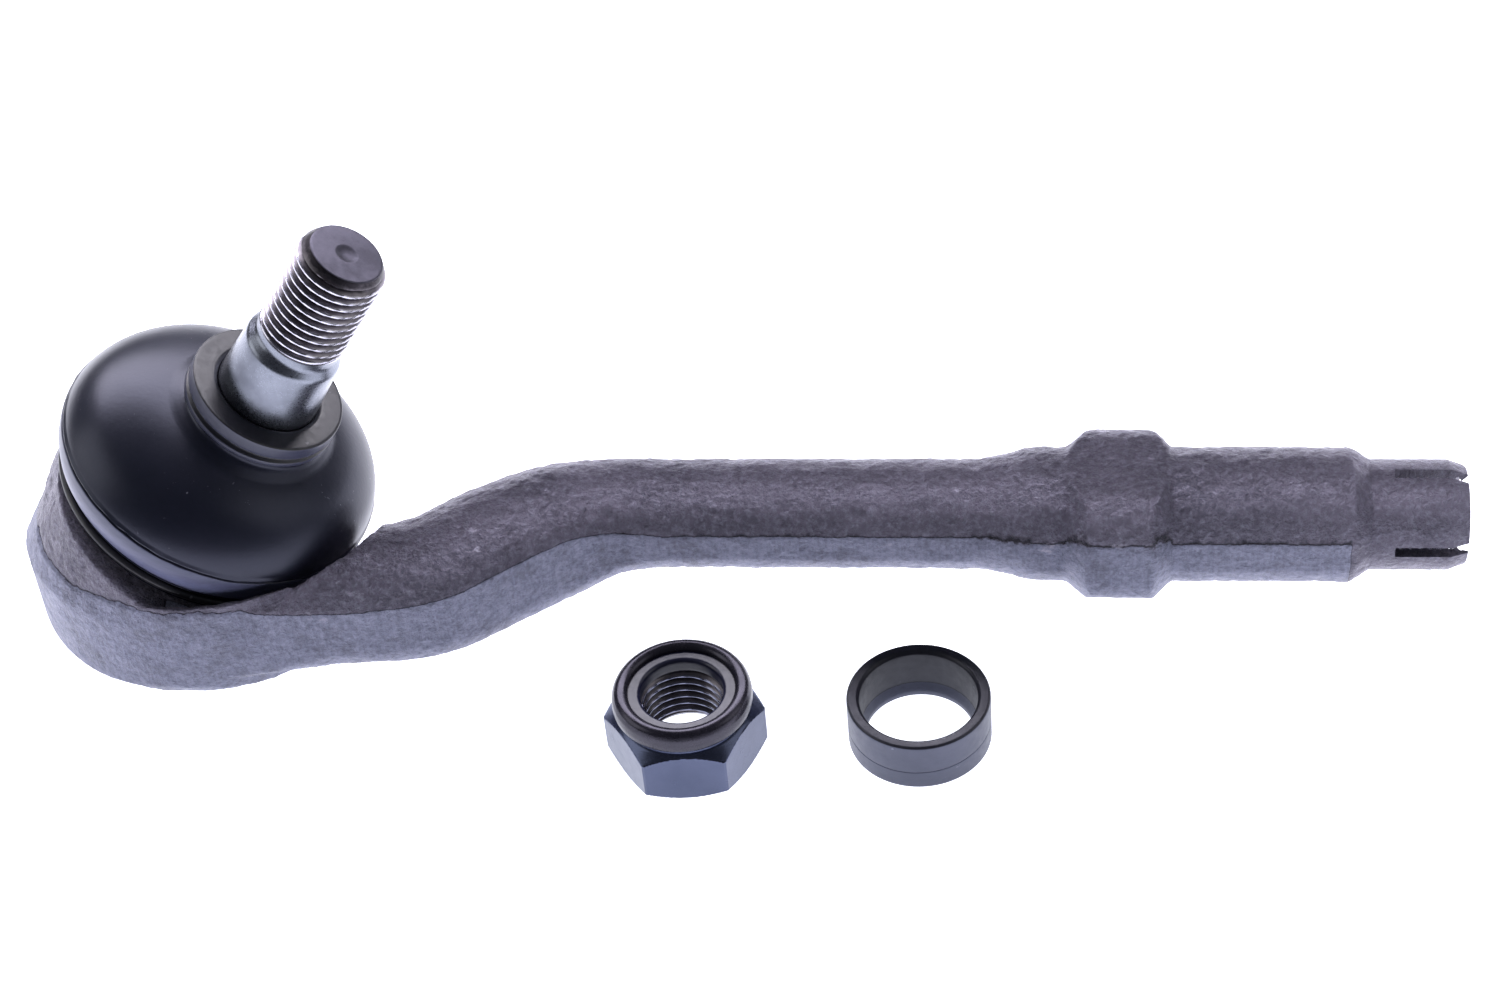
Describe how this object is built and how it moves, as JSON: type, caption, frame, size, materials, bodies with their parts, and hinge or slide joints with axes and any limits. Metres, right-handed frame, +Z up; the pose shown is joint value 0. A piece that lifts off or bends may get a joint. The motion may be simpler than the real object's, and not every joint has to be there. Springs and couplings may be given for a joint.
{
  "type": "tie rod end",
  "caption": "Steering tie rod end: bent forged rod with a sealed ball joint and tapered stud at one end, a slotted threaded collet at the other, with its stop nut and clamping ring beside it.",
  "frame": {"origin": "centre of the collet's open mouth, on the axis of its female thread", "axes": "+X out of the mouth along the thread's axis, +Z up, away from the table that the rod lies on; the ball socket leans 30 degrees towards +X in the XZ plane"},
  "size_m": [0.2283, 0.0627, 0.0814],
  "materials": {
    "forged_steel": "dark e-coated forging, rough, with paler trimmed flash faces",
    "socket_plastic": "off-white low-friction plastic",
    "cover_steel": "dark zinc-coated pressed steel",
    "boot_rubber": "smooth moulded black rubber with a soft sheen",
    "clamp_wire": "black spring steel",
    "collar_black": "satin black",
    "stud_steel": "ground bright steel cone, darker rolled thread",
    "nut_plated": "blue-grey zinc flake plating, glossy",
    "insert_nylon": "dark indigo nylon",
    "ring_coated": "matte blue-grey coating"
  },
  "bodies": {
    "housing": {"rod_forging": "forged_steel", "bearing_shell": "socket_plastic", "end_cover": "cover_steel"},
    "boot": {"dust_boot": "boot_rubber", "boot_clamp_ring": "clamp_wire"},
    "collar": {"boot_collar_ring": "collar_black"},
    "stud": {"ball_stud": "stud_steel"},
    "nut": {"lock_nut": "nut_plated", "nut_insert": "insert_nylon"},
    "ring": {"clamping_ring": "ring_coated"}
  },
  "joints": [
    {"name": "boot_orbit", "type": "hinge", "parent": "housing", "child": "boot", "pos_m": [-0.2018, -0.0033, 0], "axis": [0.5, 0, 0.866], "continuous": true},
    {"name": "stud_tilt", "type": "hinge", "parent": "boot", "child": "collar", "pos_m": [-0.2018, -0.0033, 0], "axis": [0, 1, 0], "range_deg": [-26.3, 21.7], "deforming": ["dust_boot"]},
    {"name": "stud_spin", "type": "hinge", "parent": "collar", "child": "stud", "pos_m": [-0.2018, -0.0033, 0], "axis": [0.5344, 0, 0.8453], "continuous": true},
    {"name": "nut_lift", "type": "slide", "parent": "housing", "child": "nut", "axis": [0, 0, 1], "range_m": [0, 0.06]},
    {"name": "ring_lift", "type": "slide", "parent": "housing", "child": "ring", "axis": [0, 0, 1], "range_m": [0, 0.06]}
  ]
}
